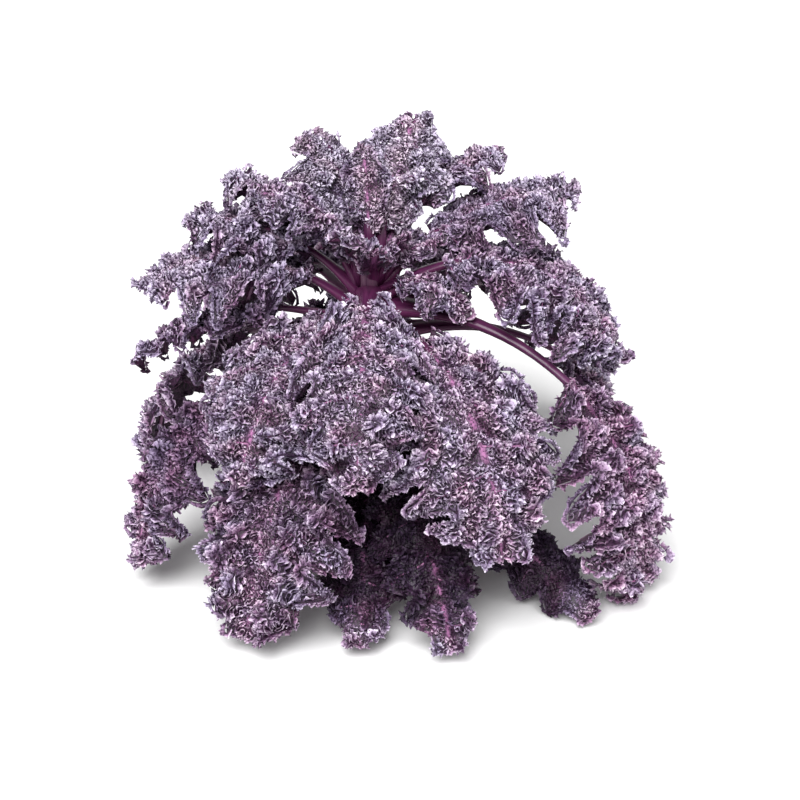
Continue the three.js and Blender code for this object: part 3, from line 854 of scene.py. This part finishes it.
def stem():
    """The stem with its grain and scars, closed by tiny rings in the middle of its foot and tip."""
    dome = np.sin(np.linspace(0, 1, DOME_ROWS + 2)[1:-1] * math.pi / 2) * STEM_DOME + STEM_WALL
    z = np.concatenate([[0, 0], np.linspace(0, STEM_WALL, BARK_ROWS), dome, [STEM_HEIGHT]])
    radius = stem_radius(z) * lerp(1, TIP_SHARE, smooth(CROWN_START, STEM_HEIGHT, z))
    radius[0] = END_RADIUS
    radius[1] = PITH_SHARE * STEM_BASE_RADIUS
    radius[-1] = END_RADIUS
    angle = np.arange(BARK_SIDES) * 2 * math.pi / BARK_SIDES
    bark = ripples(np.random.default_rng(SEED), *GRAIN_WAVES)
    lift, scar = scar_field(z[:, None], angle[None, :])
    grain = GRAIN_HEIGHT * bark(z[:, None] * GRAIN_STRETCH, STEM_BASE_RADIUS * angle[None, :])
    wall = smooth(0, GRAIN_FOOT, z)[:, None] * smooth(*GRAIN_TIP, radius)[:, None]
    seam = smooth(0, GRAIN_SEAM, angle) * smooth(0, GRAIN_SEAM, 2 * math.pi - angle)
    reach = radius[:, None] + wall * (lift + grain * seam[None, :])
    height = np.repeat(z[:, None], BARK_SIDES, 1)
    ring = np.stack([np.cos(angle) * reach, np.sin(angle) * reach, height], axis=-1)
    cut = np.repeat((z <= 0).astype(float), BARK_SIDES)
    pile = Pile()
    place = (ring + STEM_AXIS).reshape(-1, 3)
    pile.add(place, ring_quads(len(z), BARK_SIDES), scar=scar.ravel(), cut=cut)
    pile.piece("stem_bark", stem_material(), "stem", "stem")


# The materials' values. A stop is a place on a ramp and its colour, a noise is its waves per metre and
# its detail, a bump is its strength and depth. STREAK_NOISE has its waves per radius of the stalk.
NOISE_RANGE = (0.3, 0.7)  # the middle range of any noise

# Frill colours over the rim value: the painted shade of the hollows at 0, up to the pale rims at 1
FRILL_BLUE = (
    (0.0, (0.030, 0.011, 0.037)),
    (0.3, (0.26, 0.195, 0.32)),
    (0.6, (0.55, 0.48, 0.63)),
    (0.85, (0.66, 0.60, 0.73)),
    (1.0, (0.71, 0.66, 0.78)),
)
FRILL_PINK = (
    (0.0, (0.040, 0.009, 0.033)),
    (0.3, (0.28, 0.135, 0.25)),
    (0.6, (0.58, 0.41, 0.545)),
    (0.85, (0.71, 0.57, 0.675)),
    (1.0, (0.78, 0.66, 0.75)),
)
STRIP_COLOUR = (0.14, 0.09, 0.165, 1)
STRIP_VEIN_COLOUR = (0.40, 0.15, 0.33, 1)
# the underside and its veins: dark purple, painted far darker than the upper side for the shade that it
# lies in
UNDER_SHADE_COLOUR = (0.060, 0.018, 0.056, 1)
UNDER_VEIN_SHADE_COLOUR = (0.15, 0.034, 0.105, 1)
MOTTLE_NOISE = (140, 4)
MOTTLE_SHADES = ((0.32, (0.8, 0.78, 0.82)), (0.62, (1, 1, 1)))
BEAD_NOISE = (420, 1)  # crinkles that are finer than the frills
# painted shade in the crinkles' pits and painted highlight on their tops
BEAD_SHADE_AND_HIGHLIGHT = ((0.37, (0.24, 0.17, 0.26)), (0.48, (1.0, 1.0, 1.0)), (0.62, (1.34, 1.34, 1.32)))
BEAD_BUMP = (0.8, 1.3)
GLOSS_NOISE = (90, 3)
BLADE_ROUGHNESS = (0.42, 0.62)

STALK_STOPS = (
    (0.0, (0.150, 0.026, 0.105)),
    (0.25, (0.085, 0.016, 0.062)),
    (0.45, (0.10, 0.026, 0.08)),
    (0.62, (0.28, 0.09, 0.225)),
    (1.0, (0.42, 0.20, 0.36)),
)
PALE_STALK_COLOUR = (0.30, 0.19, 0.25, 1)
STREAK_NOISE = (2.4, 5)
STREAK_STRETCH = (1, 1, 2.2)
STREAK_SHADES = ((0.3, (0.55, 0.5, 0.6)), (0.55, (1, 1, 1)), (0.75, (1.5, 1.25, 1.35)))
STALK_ROUGHNESS = (0.26, 0.42)
STALK_BUMP = (0.5, 0.5)
FLESH_NOISE = (600, 3)
FLESH_STOPS = ((0.35, (0.50, 0.16, 0.32)), (0.65, (0.66, 0.33, 0.48)))

BARK_NOISE = (150, 5)
BARK_STRETCH = (1, 1, 0.16)
BARK_STOPS = ((0.3, (0.055, 0.018, 0.042)), (0.5, (0.12, 0.042, 0.088)), (0.7, (0.20, 0.10, 0.14)))
BARK_ROUGHNESS = (0.4, 0.6)
BARK_BUMP = (0.5, 0.6)
SCAR_NOISE = (400, 3)
SCAR_STOPS = ((0.35, (0.16, 0.10, 0.09)), (0.65, (0.33, 0.25, 0.20)))
PITH_NOISE = (500, 3)
PITH_STOPS = ((0.35, (0.42, 0.44, 0.28)), (0.65, (0.62, 0.62, 0.45)))

FLOOR_NOISE = (4, 2)
FLOOR_STOPS = ((0.3, (0.915, 0.915, 0.915)), (0.7, (0.925, 0.925, 0.925)))
FLOOR_ROUGHNESS = 0.9


# Materials

class Look:
    """A material whose shader gets its values from nodes."""

    def __init__(self, name):
        self.material = bpy.data.materials.new(name)
        self.material.use_nodes = True
        self.nodes = self.material.node_tree.nodes
        self.links = self.material.node_tree.links
        self.shader = self.nodes["Principled BSDF"]

    def lead(self, source, name):
        self.links.new(source, self.shader.inputs[name])

    def attribute(self, name):
        """A value that the mesh holds per point, or 0 where it holds none by that name."""
        node = self.nodes.new("ShaderNodeAttribute")
        node.attribute_name = name
        return node.outputs["Fac"]

    def ramp(self, source, stops):
        """Colours over a value."""
        node = self.nodes.new("ShaderNodeValToRGB")
        band = node.color_ramp
        while len(band.elements) < len(stops):
            band.elements.new(0.5)
        for element, (place, colour) in zip(band.elements, stops):
            element.position = place
            element.color = (*colour, 1)
        self.links.new(source, node.inputs["Fac"])
        return node.outputs["Color"]

    def mixed(self, share, first, second, kind="MIX"):
        """Two colours mixed, where each of the three inputs is a socket or a value."""
        node = self.nodes.new("ShaderNodeMix")
        node.data_type = "RGBA"
        node.blend_type = kind
        for value, name in ((share, "Factor_Float"), (first, "A_Color"), (second, "B_Color")):
            socket = next(s for s in node.inputs if s.identifier == name)
            if isinstance(value, bpy.types.NodeSocket):
                self.links.new(value, socket)
            else:
                socket.default_value = value
        return next(s for s in node.outputs if s.identifier == "Result_Color")

    def noise(self, waves, stretch=(1, 1, 1), place=None):
        """Noise in the object's own frame, unless a place is given."""
        scale, detail = waves
        if place is None:
            place = self.nodes.new("ShaderNodeTexCoord").outputs["Object"]
        mapping = self.nodes.new("ShaderNodeMapping")
        mapping.inputs["Scale"].default_value = stretch
        self.links.new(place, mapping.inputs["Vector"])
        node = self.nodes.new("ShaderNodeTexNoise")
        node.inputs["Scale"].default_value = scale
        node.inputs["Detail"].default_value = detail
        self.links.new(mapping.outputs["Vector"], node.inputs["Vector"])
        return node.outputs["Fac"]

    def ranged(self, source, low, high):
        """A noise's middle range, mapped to low and high."""
        node = self.nodes.new("ShaderNodeMapRange")
        values = {"From Min": NOISE_RANGE[0], "From Max": NOISE_RANGE[1], "To Min": low, "To Max": high}
        for name, value in values.items():
            node.inputs[name].default_value = value
        self.links.new(source, node.inputs["Value"])
        return node.outputs["Result"]

    def bump(self, height, strength, depth):
        node = self.nodes.new("ShaderNodeBump")
        node.inputs["Strength"].default_value = strength
        node.inputs["Distance"].default_value = depth * MM
        self.links.new(height, node.inputs["Height"])
        return node.outputs["Normal"]


def blade_material():
    """Frills from dark hollows in painted shade to pale rims, on a dark shell with pink veins."""
    look = Look("blade")
    rim = look.attribute("rim")
    blue = look.ramp(rim, FRILL_BLUE)
    pink = look.ramp(rim, FRILL_PINK)
    frill = look.mixed(look.attribute("pink"), blue, pink)
    vein = look.attribute("vein")
    strip = look.mixed(vein, STRIP_COLOUR, STRIP_VEIN_COLOUR)
    # the underside in painted shade
    under = look.mixed(vein, UNDER_SHADE_COLOUR, UNDER_VEIN_SHADE_COLOUR)
    upper = look.mixed(look.attribute("patch"), frill, strip)
    colour = look.mixed(look.attribute("under"), upper, under)
    mottle = look.ramp(look.noise(MOTTLE_NOISE), MOTTLE_SHADES)
    mottled = look.mixed(1.0, colour, mottle, "MULTIPLY")
    bead = look.noise(BEAD_NOISE)
    # the crinkles are painted with shade in their pits and highlight on their tops
    crinkle_shading = look.ramp(bead, BEAD_SHADE_AND_HIGHLIGHT)
    look.lead(look.mixed(1.0, mottled, crinkle_shading, "MULTIPLY"), "Base Color")
    look.lead(look.ranged(look.noise(GLOSS_NOISE), *BLADE_ROUGHNESS), "Roughness")
    look.lead(look.bump(bead, *BEAD_BUMP), "Normal")
    return look.material


def stalk_material():
    """Smooth magenta with streaks that follow the stalk, and pale flesh on the broken end."""
    look = Look("stalk")
    run = look.attribute("run")
    place = look.nodes.new("ShaderNodeCombineXYZ")
    look.links.new(look.attribute("around_x"), place.inputs["X"])
    look.links.new(look.attribute("around_y"), place.inputs["Y"])
    look.links.new(run, place.inputs["Z"])
    streak = look.noise(STREAK_NOISE, STREAK_STRETCH, place.outputs["Vector"])
    base = look.ramp(run, STALK_STOPS)
    pale = look.mixed(look.attribute("pale"), base, PALE_STALK_COLOUR)
    streaked = look.mixed(1.0, pale, look.ramp(streak, STREAK_SHADES), "MULTIPLY")
    flesh = look.ramp(look.noise(FLESH_NOISE), FLESH_STOPS)
    look.lead(look.mixed(look.attribute("cut"), streaked, flesh), "Base Color")
    look.lead(look.ranged(streak, *STALK_ROUGHNESS), "Roughness")
    look.lead(look.bump(streak, *STALK_BUMP), "Normal")
    return look.material


def stem_material():
    """Dark purple bark with streaks along the stem, corky scars and green-white pith."""
    look = Look("stem")
    streak = look.noise(BARK_NOISE, BARK_STRETCH)
    base = look.ramp(streak, BARK_STOPS)
    scar = look.ramp(look.noise(SCAR_NOISE), SCAR_STOPS)
    scarred = look.mixed(look.attribute("scar"), base, scar)
    pith = look.ramp(look.noise(PITH_NOISE), PITH_STOPS)
    look.lead(look.mixed(look.attribute("cut"), scarred, pith), "Base Color")
    look.lead(look.ranged(streak, *BARK_ROUGHNESS), "Roughness")
    look.lead(look.bump(streak, *BARK_BUMP), "Normal")
    return look.material


def floor_material():
    look = Look("floor")
    look.lead(look.ramp(look.noise(FLOOR_NOISE), FLOOR_STOPS), "Base Color")
    look.shader.inputs["Roughness"].default_value = FLOOR_ROUGHNESS
    return look.material


# The whole head

def leaf_pieces(leaf, blade_look, stalk_look):
    """One leaf as two pieces, which replace its blade and its stalk."""
    frills = Pile()
    add_blade(frills, leaf)
    frills.piece(leaf.name + "_frills", blade_look, "blade", leaf.name + "_blade")
    ribs = Pile()
    add_stalk(ribs, leaf)
    ribs.piece(leaf.name + "_rib", stalk_look, "stalk", leaf.name + "_stalk")


def heart(blade_look, stalk_look):
    """The youngest leaves round the tip of the stem, and the stub, as two pieces."""
    frills = Pile()
    stalks = Pile()
    for k in range(HEART_COUNT):
        young = k / (HEART_COUNT - 1)
        row = dict(
            bearing=k * GOLDEN_ANGLE,
            height=lerp(*HEART_HEIGHT, young),
            rise=lerp(*HEART_RISE, young),
            fall=lerp(*HEART_FALL, young),
            length=lerp(*HEART_LENGTH, young),
            width=lerp(*HEART_WIDTH, young),
        )
        leaf = Leaf("heart", HEART_SEED + k, row | HEART_LOOK)
        add_blade(frills, leaf)
        add_stalk(stalks, leaf)
    add_stub(stalks, Leaf("stub", STUB_SEED, STUB))
    frills.piece("heart_frills", blade_look, "blade")
    stalks.piece("heart_ribs", stalk_look, "stalk")


blade_look = blade_material()
stalk_look = stalk_material()
for number, row in enumerate(LEAVES, 1):
    leaf_pieces(Leaf("leaf_%02d" % number, number, row), blade_look, stalk_look)
heart(blade_look, stalk_look)
stem()


# Floor, light and camera

FLOOR_HALF = 6
CAMERA_ELEVATION = 28
CAMERA_DISTANCE = 1.56
CAMERA_LENS = 70
AIM = Vector(STEM_AXIS * MM) + Vector((0.028, -0.02, 0.145))
KEY_DIRECTION = (-0.25, -0.6, 1.0)
KEY_STRENGTH = 4.1
KEY_SPREAD = 45
FILL_PLACE = (1.5, -1.4, 1.2)
FILL_SIZE = 1.5
FILL_POWER = 8
SKY_STRENGTH = 0.42


def floor():
    mesh = bpy.data.meshes.new("floor")
    corners = [(x * FLOOR_HALF, y * FLOOR_HALF, 0) for x, y in ((-1, -1), (1, -1), (1, 1), (-1, 1))]
    mesh.from_pydata(corners, [], [(0, 1, 2, 3)])
    mesh.materials.append(floor_material())
    new_object("floor", mesh)


def area_light(name, place, size, power):
    light = bpy.data.lights.new(name, "AREA")
    light.shape = "SQUARE"
    light.size = size
    light.energy = power
    thing = new_object(name, light)
    thing.location = place
    thing.rotation_euler = (AIM - Vector(place)).to_track_quat("-Z", "Y").to_euler()


def sun_light(name, direction, power, spread):
    light = bpy.data.lights.new(name, "SUN")
    light.energy = power
    light.angle = math.radians(spread)
    thing = new_object(name, light)
    thing.rotation_euler = Vector(direction).to_track_quat("Z", "Y").to_euler()


def sky(strength):
    world = bpy.data.worlds.new("studio")
    world.use_nodes = True
    background = world.node_tree.nodes["Background"]
    background.inputs["Color"].default_value = (1, 1, 1, 1)
    background.inputs["Strength"].default_value = strength
    bpy.context.scene.world = world


def camera():
    lens = bpy.data.cameras.new("camera")
    lens.lens = CAMERA_LENS
    thing = new_object("camera", lens)
    elevation = math.radians(CAMERA_ELEVATION)
    back = Vector((0, -math.cos(elevation), math.sin(elevation)))
    thing.location = AIM + back * CAMERA_DISTANCE
    thing.rotation_euler = (-back).to_track_quat("-Z", "Y").to_euler()
    bpy.context.scene.camera = thing


floor()
sun_light("key", KEY_DIRECTION, KEY_STRENGTH, KEY_SPREAD)
area_light("fill", FILL_PLACE, FILL_SIZE, FILL_POWER)
sky(SKY_STRENGTH)
bpy.context.scene.view_settings.view_transform = "Standard"
camera()
